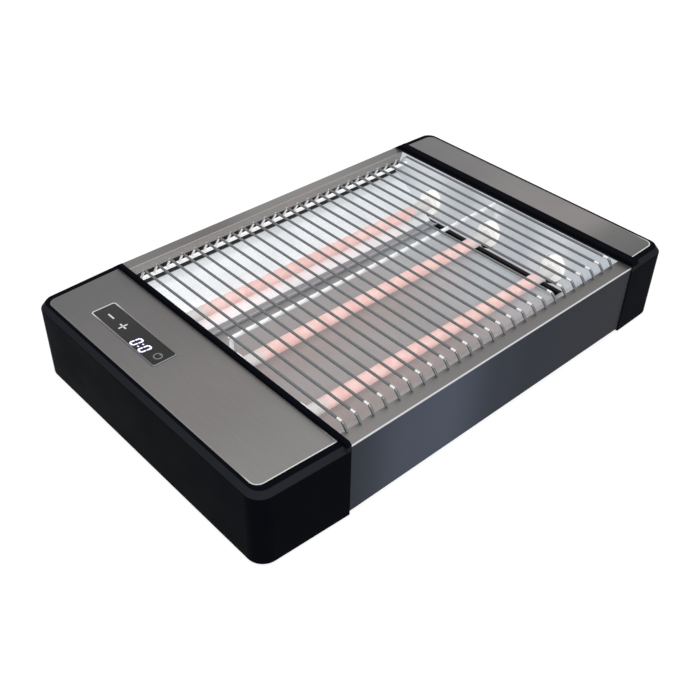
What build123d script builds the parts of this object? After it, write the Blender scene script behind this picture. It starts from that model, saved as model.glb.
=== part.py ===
from build123d import *
import math
import os

# Flat toaster, millimetres. +Z up, +X to the narrow cap, -Y to the long front panel.
# The origin is on the standing plane, at the middle of the overall length and depth.

# Overall sizes
overall_length = 400.0
cap_half_depth = 127.5
foot_drop = 3.0
cap_height = 60.2
lip_rise = 3.3
left_cap_width = 69.0
right_cap_width = 45.6

cap_bottom = foot_drop
cap_top = cap_bottom + cap_height
lip_top = cap_top + lip_rise
left_outer = -overall_length / 2
right_outer = overall_length / 2
left_inner = left_outer + left_cap_width
right_inner = right_outer - right_cap_width
chamber_middle = (left_inner + right_inner) / 2
chamber_length = right_inner - left_inner

# Clearances
slide_gap = 0.3
fit_gap = 0.1
running_gap = 0.05

# End caps
cap_wall = 2.5
cap_roof = 2.0
cap_corner = 12.0
cap_bevel_width = 3.6
cap_bevel_height = 4.6
left_taper = 3.3
right_taper = 0.9
left_lip_width = 3.7
right_lip_width = 7.4
lip_edge_radius = 0.9
lip_front_bevel = 2.6
lip_back_run = 8.0
lip_back_drop = 6.0
plate_thickness = 0.8
plate_margin_end = 5.8
plate_margin_side = 8.0
plate_corner = 6.5
cover_thickness = 2.0
cover_inset = cap_wall + fit_gap

# Screws that hold the base covers, and their posts in the caps
post_radius = 4.0
screw_radius = 1.5
screw_head_radius = 3.0
screw_head_height = 1.2
screw_length = 14.0
post_from_end = 12.0
post_from_side = 14.0
post_from_inner = 10.0

# Rubber feet
foot_radius = 7.5
foot_stub_radius = 3.0
foot_stub_length = 3.2
foot_from_side = 31.5
left_foot_from_end = 28.0
right_foot_from_end = 23.0
foot_half_spread = cap_half_depth - foot_from_side
left_foot_x = left_outer + left_foot_from_end
right_foot_x = right_outer - right_foot_from_end

# Panels
sheet = 0.8
bend = 1.0
panel_recess = 0.85
back_panel_recess = 1.6
panel_rise = 1.3
flange_drop = 1.2
panel_bottom = cap_bottom + panel_rise
flange_top = cap_top - flange_drop
front_flange_width = 12.15
back_flange_width = 10.6
back_wall_drop = 7.0
bottom_flange_width = 14.0
front_face = -cap_half_depth + panel_recess
back_face = cap_half_depth - back_panel_recess
front_flange_edge = front_face + front_flange_width
back_flange_edge = back_face - back_flange_width

# Base pan
pan_bottom = panel_bottom + sheet
pan_top = pan_bottom + sheet
pan_end_rise = 12.0
pan_end_inset = 39.5
pan_end_half_width = cap_half_depth - pan_end_inset
vent_length = 34.0
vent_width = 3.0
vent_pitch_x = 44.0
vent_pitch_y = 22.0
vent_columns = 4
vent_rows = 5
rivet_radius = 1.6
rivet_head_radius = 3.1
rivet_head_height = 0.9
pan_rivet_spacing = 84.0
pan_screw_inset = 10.0
pan_screw_half_spread = pan_end_half_width - pan_screw_inset
pan_screw_rise = 7.0
pan_screw_length = 9.0
foot_rivet_spread = 45.0

# Tubes, coils and collars
tube_height = 36.0
tube_spacing = 67.0
tube_radius = 5.0
tube_wall = 1.0
coil_radius = 3.4
coil_margin = 30.0
pin_radius = 0.9
collar_radius = 10.5
collar_face_inset = 14.9
collar_bore_depth = 11.5
collar_neck_radius = 4.0
collar_neck_length = 4.2
collar_hole_gap = 0.4
collar_edge = 0.8
bus_bar_height = 9.0
bus_bar_thickness = 1.0
bus_bar_overhang = 8.0

# Chamber floor, reflectors and shields
floor_top = 23.0
slope_run = 18.9
end_slot = 5.6
reflector_edge_gap = 0.5
front_reflector_run = 32.0
reflector_top_y = front_flange_edge + reflector_edge_gap
front_reflector_foot = reflector_top_y + front_reflector_run
back_reflector_setback = 2.3
back_reflector_run = 53.5
back_channel_width = 8.2
back_hem_rise = 2.6
back_reflector_drop = 16.0
back_reflector_top_y = back_flange_edge - back_reflector_setback
back_channel_back = back_reflector_top_y - back_reflector_run
back_channel_front = back_channel_back - back_channel_width
back_reflector_top = flange_top - back_reflector_drop
slot_end_gap = 2.0
side_slot_front = front_reflector_foot + slot_end_gap
side_slot_back = back_channel_back - slot_end_gap
trim_gap = 0.35
foot_flange_width = 9.0
shield_thickness = 0.6
shield_rise = 51.0

# Crumb tray
tray_under_reflector = 6.0
tray_front = front_reflector_foot - tray_under_reflector
tray_rim = 2.3
tray_end_drop = 4.2
tray_slot_gap = 0.5
grip_length = 60.0
grip_height = 7.2
grip_depth = 7.0
grip_notch_gap = 2.0
grip_notch_drop = 6.5
groove_radius = 2.8
grip_edge = 1.4
grip_rivet_radius = 1.0
grip_rivet_head = 1.9
grip_rivet_head_height = 0.8
grip_rivet_depth = 4.0
rail_width = 9.0
rail_from_tray_edge = 14.2
rail_end_gap = 4.0
rail_front = tray_front + rail_end_gap
rail_back = pan_end_half_width + rail_end_gap / 2

# Rack
wire_count = 25
wire_pitch = 11.175
wire_offset = 2.1
wire_first = chamber_middle - wire_offset - wire_pitch * (wire_count - 1) / 2
wire_radius = 1.0
rack_rise = 5.5
rack_fall = 0.7
wire_front_height = flange_top + rack_rise
wire_back_height = wire_front_height - rack_fall
wire_front_inset = 2.5
wire_front_bend_y = front_flange_edge + wire_front_inset
rear_rod_inset = 7.8
rear_rod_drop = 6.5
rear_rod_y = back_flange_edge - rear_rod_inset
rear_rod_z = flange_top - rear_rod_drop
wire_back_leg_run = 6.5
wire_back_bend_y = rear_rod_y - wire_back_leg_run
wire_bend = 2.5
wire_foot_angle = 40.0
rod_radius = 1.5
middle_rod_y = -1.0
middle_rod_from_slope = 11.5
middle_rod_bend = 3.0
pivot_depth = 5.0
pivot_boss_radius = 4.5
pivot_boss_length = 4.0
pivot_end_gap = 0.4

# Control window, display and boards
window_from_end = 21.8
window_width = 19.2
window_length = 76.7
window_front = 9.0
window_west = left_outer + window_from_end
window_east = window_west + window_width
window_back = window_front + window_length
bezel_width = 1.0
bezel_proud = 0.3
glass_ledge = 1.5
glass_thickness = 1.9
window_corner = 2.4
key_inset = 8.7
key_x = window_west + key_inset
minus_from_front = 64.6
plus_from_front = 49.5
power_from_front = 7.6
minus_y = window_front + minus_from_front
plus_y = window_front + plus_from_front
power_y = window_front + power_from_front
touch_pad_radius = 3.2
display_inset = 3.0
display_width = 9.7
display_length = 25.0
display_from_front = 12.0
display_west = window_west + display_inset
display_east = display_west + display_width
display_front = window_front + display_from_front
display_back = display_front + display_length
board_thickness = 1.6
control_board_drop = 6.0
control_board_margin = 7.0
standoff_radius = 2.6
standoff_hole_inset = 3.6

power_board_from_end = 14.0
power_board_width = 38.0
power_board_length = 92.0
power_board_from_side = 29.5
power_board_west = left_outer + power_board_from_end
power_board_east = power_board_west + power_board_width
power_board_front = power_board_from_side - cap_half_depth
power_board_back = power_board_front + power_board_length
power_board_height = 12.0
relay_size = (15.0, 19.0, 15.5)
transformer_size = (26.0, 23.0, 22.0)
capacitor_size = (9.0, 18.0, 14.0)
terminal_block_size = (14.0, 12.0, 12.0)
component_inset = 9.0
component_edge = 0.6
board_screw_length = 8.0

# Leads, cable and gland
lead_radius = 1.2
lead_bend = 3.5
lead_hole_radius = 2.0
lead_row_gap = 12.0
lead_row_y = pan_end_half_width + lead_row_gap
lead_row_z = 11.0
cutout_radius = 7.0
cutout_depth = 6.0
cutout_z = 50.0
lead_drop = 5.0
gland_radius = 6.0
gland_hole_radius = 3.4
gland_flange_radius = 8.5
gland_flange_thickness = 1.2
gland_nut_thickness = 3.0
gland_from_end = 34.0
gland_x = left_outer + gland_from_end
gland_z = 22.0
cable_width = 8.0
cable_thickness = 1.0


def block(x0, x1, y0, y1, z0, z1):
    """A box between two corners."""
    return Pos((x0 + x1) / 2, (y0 + y1) / 2, (z0 + z1) / 2) * Box(x1 - x0, y1 - y0, z1 - z0)


def bar_along_x(radius, x0, x1, y, z):
    """A round bar along X."""
    low = (Align.CENTER, Align.CENTER, Align.MIN)
    return Pos(x0, y, z) * Rot(0, 90, 0) * Cylinder(radius, x1 - x0, align=low)


def bar_along_y(radius, x, y0, y1, z):
    """A round bar along Y."""
    low = (Align.CENTER, Align.CENTER, Align.MIN)
    return Pos(x, y0, z) * Rot(-90, 0, 0) * Cylinder(radius, y1 - y0, align=low)


def bar_along_z(radius, x, y, z0, z1):
    """A round bar along Z."""
    low = (Align.CENTER, Align.CENTER, Align.MIN)
    return Pos(x, y, z0) * Cylinder(radius, z1 - z0, align=low)


def cross_plane(x):
    """Plane across X: its own axes are Y and Z."""
    return Plane(origin=(x, 0, 0), x_dir=(0, 1, 0), z_dir=(1, 0, 0))


def length_plane(y):
    """Plane across Y: its own axes are X and Z, and it looks to the front."""
    return Plane(origin=(0, y, 0), x_dir=(1, 0, 0), z_dir=(0, -1, 0))


def folded_sheet(points, side, plane, length, thickness=sheet, radius=bend):
    """Sheet metal folded along a path, with the given side of the path filled."""
    path = FilletPolyline(*points, radius=radius)
    outline = offset(path, thickness, side=side, closed=True)
    return extrude(plane * make_face(outline.edges()), length)


def round_wire(points, radius, bend_radius):
    """Round wire bent along a path of points in space."""
    path = FilletPolyline(*points, radius=bend_radius)
    return sweep(Plane(path @ 0, z_dir=path % 0) * Circle(radius), path=path)


def mirrored(shape):
    """The same shape at the other end of the chamber."""
    return mirror(shape, about=Plane(origin=(chamber_middle, 0, 0), z_dir=(1, 0, 0)))


def group(shapes):
    """Separate solids that share one node."""
    return Compound(children=list(shapes))


class EndCap:
    """One end cap: the plan shape that its shell, plate and cover share."""

    def __init__(self, inner, outer, taper, lip_width):
        self.inner = inner
        self.outer = outer
        self.taper = taper
        self.lip_width = lip_width
        self.outward = 1 if outer > inner else -1

    def plan(self, end_inset, side_inset, inner_inset, corner):
        """Plan face of the cap, its sides drawn in, its two outer corners rounded."""
        near = self.inner + self.outward * inner_inset
        far = self.outer - self.outward * end_inset
        share = self.taper / abs(self.outer - self.inner)
        near_half = cap_half_depth - side_inset - share * inner_inset
        far_half = cap_half_depth - self.taper - side_inset + share * end_inset
        corners = [(near, -near_half), (far, -far_half), (far, far_half), (near, near_half)]
        face = make_face(Polyline(*corners, close=True))
        outer_corners = face.vertices().filter_by(lambda v: abs(v.X - far) < abs(v.X - near))
        return fillet(outer_corners, corner)

    def bevelled(self, wall, inner_inset, bottom, top):
        """Solid with sloping upper edges on its three outer sides."""
        corner = cap_corner - wall
        shoulder = top - cap_bevel_height
        low = self.plan(wall, wall, inner_inset, corner)
        high = self.plan(
            wall + cap_bevel_width,
            wall + cap_bevel_width,
            inner_inset,
            corner - cap_bevel_width,
        )
        lower = extrude(Pos(0, 0, bottom) * low, shoulder - bottom)
        upper = loft([Pos(0, 0, shoulder) * low, Pos(0, 0, top) * high], ruled=True)
        return lower + upper

    def lip(self):
        """Raised lip along the inner edge, its two ends bevelled."""
        x0 = min(self.inner, self.inner + self.outward * self.lip_width)
        foot = cap_top - cap_bevel_height
        side = Polyline(
            (-cap_half_depth, foot),
            (-cap_half_depth, lip_top - lip_front_bevel),
            (lip_front_bevel - cap_half_depth, lip_top),
            (cap_half_depth - lip_back_run, lip_top),
            (cap_half_depth, lip_top - lip_back_drop),
            (cap_half_depth, foot),
            close=True,
        )
        lip = extrude(cross_plane(x0) * make_face(side), self.lip_width)
        lip = fillet(lip.edges().group_by(Axis.Z)[-1], lip_edge_radius)
        return lip & extrude(self.plan(0, 0, 0, cap_corner), lip_top)

    def posts(self):
        """X and Y of the four screw posts."""
        near = self.inner + self.outward * post_from_inner
        far = self.outer - self.outward * post_from_end
        half = cap_half_depth - post_from_side
        return [(x, y) for x in (near, far) for y in (-half, half)]

    def shell(self):
        """Moulded shell: walls, roof with the plate's seat, screw posts and the rod's pivot."""
        body = self.bevelled(0, 0, cap_bottom, cap_top) + self.lip()
        roof = cap_top - plate_thickness
        cavity = self.bevelled(cap_wall, cap_wall, cap_bottom, roof - cap_roof)
        body -= cavity
        seat = self.plan(
            plate_margin_end - fit_gap,
            plate_margin_side - fit_gap,
            self.lip_width,
            plate_corner + fit_gap,
        )
        body -= extrude(Pos(0, 0, roof) * seat, plate_thickness * 2)
        for x, y in self.posts():
            body += bar_along_z(post_radius, x, y, cap_bottom + cover_thickness, roof - cap_roof / 2)
            body -= bar_along_z(
                screw_radius + running_gap, x, y, cap_bottom, cap_bottom + screw_length + slide_gap
            )
        boss_end = self.inner + self.outward * (cap_wall + pivot_boss_length)
        x0, x1 = sorted((self.inner + self.outward * cap_wall / 2, boss_end))
        body += bar_along_x(pivot_boss_radius, x0, x1, rear_rod_y, rear_rod_z)
        x0, x1 = sorted((self.inner, self.inner + self.outward * (pivot_depth + pivot_end_gap)))
        body -= bar_along_x(rod_radius + running_gap, x0, x1, rear_rod_y, rear_rod_z)
        return body

    def wall_hole(self, radius, y, z):
        """Hole through the inner wall."""
        x0, x1 = sorted(
            (self.inner - self.outward * cap_wall, self.inner + self.outward * 2 * cap_wall)
        )
        return bar_along_x(radius, x0, x1, y, z)

    def plate(self):
        """Metal plate that lies in the roof's seat."""
        face = self.plan(
            plate_margin_end, plate_margin_side, self.lip_width + fit_gap, plate_corner
        )
        return extrude(Pos(0, 0, cap_top - plate_thickness) * face, plate_thickness)

    def cover(self, foot_x):
        """Base cover with holes for its screws and its two feet."""
        face = self.plan(cover_inset, cover_inset, cover_inset, cap_corner - cover_inset)
        cover = extrude(Pos(0, 0, cap_bottom) * face, cover_thickness)
        for x, y in self.posts():
            cover -= bar_along_z(screw_radius + fit_gap, x, y, 0, cap_top)
            cover -= bar_along_z(
                screw_head_radius + fit_gap, x, y, 0, cap_bottom + screw_head_height
            )
        for y in (-foot_half_spread, foot_half_spread):
            cover -= bar_along_z(foot_stub_radius + running_gap, foot_x, y, 0, cap_top)
        return cover

    def screws(self):
        """Four screws from below, their heads flush with the cover."""
        return [
            bar_along_z(screw_radius, x, y, cap_bottom, cap_bottom + screw_length)
            + bar_along_z(screw_head_radius, x, y, cap_bottom, cap_bottom + screw_head_height)
            for x, y in self.posts()
        ]


def rubber_foot(x, y):
    """Round foot with a stub through the base cover."""
    pad = bar_along_z(foot_radius, x, y, 0, foot_drop)
    pad = fillet(pad.edges().group_by(Axis.Z)[0], foot_drop / 4)
    return pad + bar_along_z(foot_stub_radius, x, y, foot_drop, foot_drop + foot_stub_length)


left_cap = EndCap(left_inner, left_outer, left_taper, left_lip_width)
right_cap = EndCap(right_inner, right_outer, right_taper, right_lip_width)

tube_rows = {"front": -tube_spacing, "middle": 0.0, "back": tube_spacing}

# Openings of the control window in the left plate and roof
roof_top = cap_top - plate_thickness
roof_bottom = roof_top - cap_roof


def window_plan(inset, corner):
    """Plan face of the window, drawn in by an inset."""
    width = window_east - window_west - 2 * inset
    depth = window_back - window_front - 2 * inset
    middle = Pos((window_west + window_east) / 2, (window_front + window_back) / 2)
    return middle * RectangleRounded(width, depth, corner)


glass_inset = bezel_width + running_gap
glass_bottom = roof_top - glass_thickness + plate_thickness - fit_gap
ledge_inset = glass_inset + glass_ledge
bezel_bottom = roof_top

left_shell = left_cap.shell()
right_shell = right_cap.shell()
left_shell -= extrude(
    Pos(0, 0, glass_bottom) * window_plan(bezel_width, window_corner - bezel_width),
    cap_top - glass_bottom,
)
left_shell -= extrude(
    Pos(0, 0, roof_bottom - fit_gap) * window_plan(ledge_inset, window_corner / 2), cap_roof
)

left_plate = left_cap.plate() - extrude(
    Pos(0, 0, roof_top) * window_plan(-fit_gap, window_corner + fit_gap), plate_thickness
)
right_plate = right_cap.plate()

bezel_height = cap_top + bezel_proud - bezel_bottom
bezel = extrude(Pos(0, 0, bezel_bottom) * window_plan(0, window_corner), bezel_height)
bezel -= extrude(
    Pos(0, 0, bezel_bottom) * window_plan(bezel_width, window_corner - bezel_width), bezel_height
)
glass = extrude(
    Pos(0, 0, glass_bottom) * window_plan(glass_inset, window_corner - bezel_width),
    glass_thickness,
)

# Control board under the window, hung on four posts of the roof
board_top = roof_bottom - control_board_drop
board_bottom = board_top - board_thickness
board_west = window_west - control_board_margin
board_east = window_east + control_board_margin
board_front = window_front - control_board_margin
board_back = window_back + control_board_margin
control_board = block(board_west, board_east, board_front, board_back, board_bottom, board_top)
board_posts = [
    (x, y)
    for x in (board_west + standoff_hole_inset, board_east - standoff_hole_inset)
    for y in (board_front + standoff_hole_inset, board_back - standoff_hole_inset)
]
board_screws = []
for x, y in board_posts:
    left_shell += bar_along_z(standoff_radius, x, y, board_top, roof_bottom + cap_roof / 2)
    left_shell -= bar_along_z(
        screw_radius + running_gap, x, y, board_top, board_bottom + board_screw_length + slide_gap
    )
    control_board -= bar_along_z(screw_radius + fit_gap, x, y, 0, cap_top)
    board_screws.append(
        bar_along_z(screw_radius, x, y, board_bottom, board_bottom + board_screw_length)
        + bar_along_z(screw_head_radius, x, y, board_bottom - screw_head_height, board_bottom)
    )

display = block(
    display_west, display_east, display_front, display_back, board_top, glass_bottom - slide_gap
)
touch_pads = [
    bar_along_z(touch_pad_radius, key_x, y, board_top, glass_bottom)
    for y in (minus_y, plus_y, power_y)
]

# Power board on four posts of the left base cover
left_cover = left_cap.cover(left_foot_x)
right_cover = right_cap.cover(right_foot_x)
cover_top = cap_bottom + cover_thickness
power_board_top = power_board_height + board_thickness
power_board = block(
    power_board_west,
    power_board_east,
    power_board_front,
    power_board_back,
    power_board_height,
    power_board_top,
)
power_posts = [
    (x, y)
    for x in (power_board_west + standoff_hole_inset, power_board_east - standoff_hole_inset)
    for y in (power_board_front + standoff_hole_inset, power_board_back - standoff_hole_inset)
]
for x, y in power_posts:
    left_cover += bar_along_z(standoff_radius, x, y, cap_bottom, power_board_height)
    left_cover -= bar_along_z(
        screw_radius + running_gap,
        x,
        y,
        power_board_top - board_screw_length - slide_gap,
        power_board_height,
    )
    power_board -= bar_along_z(screw_radius + fit_gap, x, y, 0, cap_top)
    board_screws.append(
        bar_along_z(screw_radius, x, y, power_board_top - board_screw_length, power_board_top)
        + bar_along_z(screw_head_radius, x, y, power_board_top, power_board_top + screw_head_height)
    )


def board_component(size, x, y):
    """Box-shaped component standing on the power board, its edges softened."""
    body = Pos(x, y, power_board_top + size[2] / 2) * Box(*size)
    return fillet(body.edges().group_by(Axis.Z)[-1], component_edge)


relay_x = power_board_east - component_inset
relay_y = power_board_front + relay_size[1]
relay = board_component(relay_size, relay_x, relay_y)
transformer = board_component(
    transformer_size,
    power_board_west + transformer_size[0] / 2 + component_edge,
    (power_board_front + power_board_back) / 2,
)
capacitor = board_component(
    capacitor_size, power_board_east - component_inset, power_board_back - capacitor_size[1]
)
terminal_east = left_inner - post_from_inner * 2
terminal_block = block(
    terminal_east - terminal_block_size[0],
    terminal_east,
    lead_row_y - terminal_block_size[1] / 2,
    lead_row_y + terminal_block_size[1] / 2,
    cover_top,
    cover_top + terminal_block_size[2],
)

# Chamber ends. The slope is a straight sheet from the cap's inner wall down to the floor.
slope_angle = math.atan2(slope_run, flange_top - floor_top)
slope_foot_x = right_inner - slope_run
slope_top_x = right_inner - sheet * math.cos(slope_angle)
slope_rate = (flange_top - floor_top) / (slope_top_x - slope_foot_x)
shield_face = right_inner - shield_thickness
pan_end_face = shield_face - sheet
end_front = reflector_top_y - trim_gap
end_back = back_flange_edge - trim_gap
collar_face = right_inner - collar_face_inset

right_end_reflector = folded_sheet(
    [
        (slope_top_x, flange_top),
        (slope_foot_x, floor_top),
        (slope_foot_x, pan_top),
        (slope_foot_x + foot_flange_width, pan_top),
    ],
    Side.LEFT,
    length_plane(end_back),
    end_back - end_front,
)
foot_cut_top = floor_top - 2 * bend
for y0, y1 in ((end_front, side_slot_front), (side_slot_back, end_back)):
    right_end_reflector -= block(slope_foot_x - sheet, right_inner, y0, y1, 0, foot_cut_top)
right_shield = block(
    shield_face, right_inner, -pan_end_half_width, pan_end_half_width, pan_bottom,
    pan_bottom + shield_rise,
)

for y in tube_rows.values():
    collar_hole = bar_along_x(
        collar_radius + collar_hole_gap, collar_face - collar_radius, right_inner, y, tube_height
    )
    right_end_reflector -= collar_hole
    right_shield -= collar_hole
right_end_reflector -= bar_along_x(
    rod_radius + trim_gap, slope_foot_x, right_inner, rear_rod_y, rear_rod_z
)

# Collars: a round ceramic with a bore for the tube and a neck through the cap's wall
collar_back = right_inner + collar_neck_length
bore_bottom = collar_face + collar_bore_depth
right_collars = {}
for row, y in tube_rows.items():
    collar = bar_along_x(collar_radius, collar_face, right_inner, y, tube_height)
    collar = fillet(collar.edges().group_by(Axis.X)[0], collar_edge)
    collar += bar_along_x(collar_neck_radius, right_inner, collar_back, y, tube_height)
    collar -= bar_along_x(tube_radius + fit_gap, collar_face, bore_bottom, y, tube_height)
    collar -= bar_along_x(pin_radius + running_gap, bore_bottom, collar_back, y, tube_height)
    right_collars[row] = collar
    left_y_hole = left_cap.wall_hole(collar_neck_radius + fit_gap, y, tube_height)
    right_y_hole = right_cap.wall_hole(collar_neck_radius + fit_gap, y, tube_height)
    left_shell -= left_y_hole
    right_shell -= right_y_hole

# Tubes and coils
tube_end = bore_bottom - slide_gap
tube_start = 2 * chamber_middle - tube_end
coil_end = tube_end - coil_margin
coil_start = 2 * chamber_middle - coil_end
pin_end = right_inner + collar_neck_length + bus_bar_thickness + pin_radius
pin_start = 2 * chamber_middle - pin_end
tubes = {}
coils = {}
for row, y in tube_rows.items():
    tubes[row] = bar_along_x(tube_radius, tube_start, tube_end, y, tube_height) - bar_along_x(
        tube_radius - tube_wall, tube_start, tube_end, y, tube_height
    )
    coils[row] = bar_along_x(coil_radius, coil_start, coil_end, y, tube_height) + bar_along_x(
        pin_radius, pin_start, pin_end, y, tube_height
    )

# Bus bar that joins the three pins inside each cap
bus_half = tube_spacing + bus_bar_overhang
bus_half_height = bus_bar_height / 2
right_bus_bar = block(
    collar_back,
    collar_back + bus_bar_thickness,
    -bus_half,
    bus_half,
    tube_height - bus_half_height,
    tube_height + bus_half_height,
)
for y in tube_rows.values():
    right_bus_bar -= bar_along_x(
        pin_radius + running_gap, collar_back, collar_back + bus_bar_thickness, y, tube_height
    )
left_bus_bar = mirrored(right_bus_bar)

# Front and back panels
front_panel = folded_sheet(
    [
        (front_face + bottom_flange_width, panel_bottom),
        (front_face, panel_bottom),
        (front_face, flange_top),
        (front_flange_edge, flange_top),
    ],
    Side.RIGHT,
    cross_plane(left_inner),
    chamber_length,
)
back_panel = folded_sheet(
    [
        (back_face - bottom_flange_width, panel_bottom),
        (back_face, panel_bottom),
        (back_face, flange_top),
        (back_flange_edge, flange_top),
        (back_flange_edge, flange_top - back_wall_drop),
    ],
    Side.LEFT,
    cross_plane(left_inner),
    chamber_length,
)

# Base pan with its two upturned ends
pan_front = front_face + sheet + slide_gap
pan_back = back_face - sheet - slide_gap
pan_west = 2 * chamber_middle - shield_face
base_pan = folded_sheet(
    [
        (pan_west, pan_bottom + pan_end_rise),
        (pan_west, pan_bottom),
        (shield_face, pan_bottom),
        (shield_face, pan_bottom + pan_end_rise),
    ],
    Side.LEFT,
    length_plane(pan_back),
    pan_back - pan_front,
)
for x0, x1 in ((left_inner, pan_west + 2 * bend), (shield_face - 2 * bend, right_inner)):
    for y0, y1 in ((pan_front, -pan_end_half_width), (pan_end_half_width, pan_back)):
        base_pan -= block(x0, x1, y0, y1, pan_bottom, cap_top)
first_vent_x = chamber_middle - vent_pitch_x * (vent_columns - 1) / 2
first_vent_y = -vent_pitch_y * (vent_rows - 1) / 2
for column in range(vent_columns):
    for row in range(vent_rows):
        x = first_vent_x + column * vent_pitch_x
        y = first_vent_y + row * vent_pitch_y
        vent = extrude(SlotOverall(vent_length, vent_width), 2 * sheet)
        base_pan -= Pos(x, y, pan_bottom - sheet / 2) * vent

# Screws that hold the pan's ends and the shields to the caps
pan_screws = []
pan_screw_z = pan_bottom + pan_screw_rise
for y in (-pan_screw_half_spread, pan_screw_half_spread):
    shank_start = pan_end_face
    screw = bar_along_x(
        screw_radius, shank_start, shank_start + pan_screw_length, y, pan_screw_z
    )
    screw += bar_along_x(
        screw_head_radius, shank_start - screw_head_height, shank_start, y, pan_screw_z
    )
    pan_screws += [screw, mirrored(screw)]
    hole = bar_along_x(
        screw_radius + running_gap, shank_start - sheet, right_inner + 2 * cap_wall, y, pan_screw_z
    )
    right_shield -= hole
    right_shell -= hole
    left_shell -= mirrored(hole)
    base_pan -= hole
    base_pan -= mirrored(hole)
left_shield = mirrored(right_shield)

# Front and back reflectors, trimmed to the two slopes
trim_foot = slope_foot_x - trim_gap
trim_top = slope_top_x - trim_gap
trim_foot_west = 2 * chamber_middle - trim_foot
trim_top_west = 2 * chamber_middle - trim_top
between_slopes = extrude(
    length_plane(cap_half_depth)
    * make_face(
        Polyline(
            (trim_foot_west, 0),
            (trim_foot, 0),
            (trim_foot, floor_top),
            (trim_top, flange_top),
            (trim_top_west, flange_top),
            (trim_foot_west, floor_top),
            close=True,
        )
    ),
    2 * cap_half_depth,
)
under_flange = flange_top - sheet
reflector_foot_z = floor_top + slide_gap + sheet
front_reflector = between_slopes & folded_sheet(
    [
        (front_face + sheet + slide_gap, under_flange),
        (reflector_top_y, under_flange),
        (front_reflector_foot, reflector_foot_z),
    ],
    Side.RIGHT,
    cross_plane(left_inner),
    chamber_length,
)
back_inner_face = back_face - sheet
back_reflector = between_slopes & folded_sheet(
    [
        (back_channel_front + sheet, reflector_foot_z + back_hem_rise - sheet),
        (back_channel_front + sheet, reflector_foot_z),
        (back_channel_back, reflector_foot_z),
        (back_reflector_top_y, back_reflector_top),
        (back_inner_face, back_reflector_top),
    ],
    Side.RIGHT,
    cross_plane(left_inner),
    chamber_length,
)

# Crumb tray: floor with a low rim on three sides and an end plate in the back panel's slot
tray_east = slope_foot_x - end_slot
tray_west = 2 * chamber_middle - tray_east
tray_bottom = floor_top - tray_rim
crumb_tray = folded_sheet(
    [
        (tray_front, floor_top),
        (tray_front, tray_bottom),
        (back_inner_face, tray_bottom),
        (back_inner_face, tray_bottom - tray_end_drop),
    ],
    Side.LEFT,
    cross_plane(tray_west),
    tray_east - tray_west,
)
for x0, x1 in ((tray_west, tray_west + sheet), (tray_east - sheet, tray_east)):
    crumb_tray += block(x0, x1, tray_front + bend, back_inner_face - bend, tray_bottom, floor_top)
slot_bottom = tray_bottom - tray_end_drop - tray_slot_gap
back_panel -= block(
    tray_west - tray_slot_gap,
    tray_east + tray_slot_gap,
    back_inner_face - sheet,
    cap_half_depth,
    slot_bottom,
    floor_top + tray_slot_gap,
)

# Grip behind the end plate, reached through a notch under the slot
grip_half = grip_length / 2
grip_bottom = tray_bottom - grip_height
grip = block(
    chamber_middle - grip_half,
    chamber_middle + grip_half,
    back_inner_face - grip_depth,
    back_inner_face,
    grip_bottom,
    tray_bottom,
)
grip = fillet(grip.edges().filter_by(Axis.X).group_by(Axis.Z)[-1].sort_by(Axis.Y)[-1:], grip_edge)
grip -= bar_along_x(
    groove_radius,
    chamber_middle - grip_half,
    chamber_middle + grip_half,
    back_inner_face - grip_depth,
    grip_bottom + groove_radius,
)
back_panel -= block(
    chamber_middle - grip_half - grip_notch_gap,
    chamber_middle + grip_half + grip_notch_gap,
    back_inner_face - sheet,
    cap_half_depth,
    grip_bottom - grip_notch_drop,
    slot_bottom + sheet,
)
grip_rivets = []
grip_rivet_z = tray_bottom - tray_end_drop / 2
for x in (chamber_middle - grip_half / 2, chamber_middle + grip_half / 2):
    shank = bar_along_y(
        grip_rivet_radius, x, back_inner_face - grip_rivet_depth, back_face, grip_rivet_z
    )
    head = bar_along_y(
        grip_rivet_head, x, back_face, back_face + grip_rivet_head_height, grip_rivet_z
    )
    grip_rivets.append(shank + head)
    hole = bar_along_y(
        grip_rivet_radius + running_gap,
        x,
        back_inner_face - grip_rivet_depth - slide_gap,
        back_face + sheet,
        grip_rivet_z,
    )
    grip -= hole
    crumb_tray -= hole

# Rails of folded strip under the tray
rail_top = tray_bottom - slide_gap
rail_web = tray_east - rail_from_tray_edge
right_rail = folded_sheet(
    [
        (rail_web - rail_width, pan_top),
        (rail_web, pan_top),
        (rail_web, rail_top - sheet),
        (rail_web + rail_width, rail_top - sheet),
    ],
    Side.LEFT,
    length_plane(rail_back),
    rail_back - rail_front,
)

# Rivets through the pan: panel flanges from below, rails and reflector feet from above
rivets = []


def pan_rivet(x, y, bottom):
    """Rivet through two sheets whose stack starts at the given height."""
    shank = bar_along_z(rivet_radius, x, y, bottom, bottom + 2 * sheet)
    lower = bar_along_z(rivet_head_radius, x, y, bottom - rivet_head_height, bottom)
    upper = bar_along_z(
        rivet_head_radius, x, y, bottom + 2 * sheet, bottom + 2 * sheet + rivet_head_height
    )
    return shank + lower + upper


def rivet_hole(x, y):
    """Clearance hole for a rivet of the pan."""
    return bar_along_z(rivet_radius + running_gap, x, y, 0, floor_top - tray_rim - sheet)


flange_rivet_inset = bottom_flange_width - 2 * rivet_head_radius + rivet_radius
for column in (-1, 0, 1):
    x = chamber_middle + column * pan_rivet_spacing
    for y in (front_face + flange_rivet_inset, back_face - flange_rivet_inset):
        rivets.append(pan_rivet(x, y, panel_bottom))
        base_pan -= rivet_hole(x, y)
    front_panel -= rivet_hole(x, front_face + flange_rivet_inset)
    back_panel -= rivet_hole(x, back_face - flange_rivet_inset)

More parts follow.
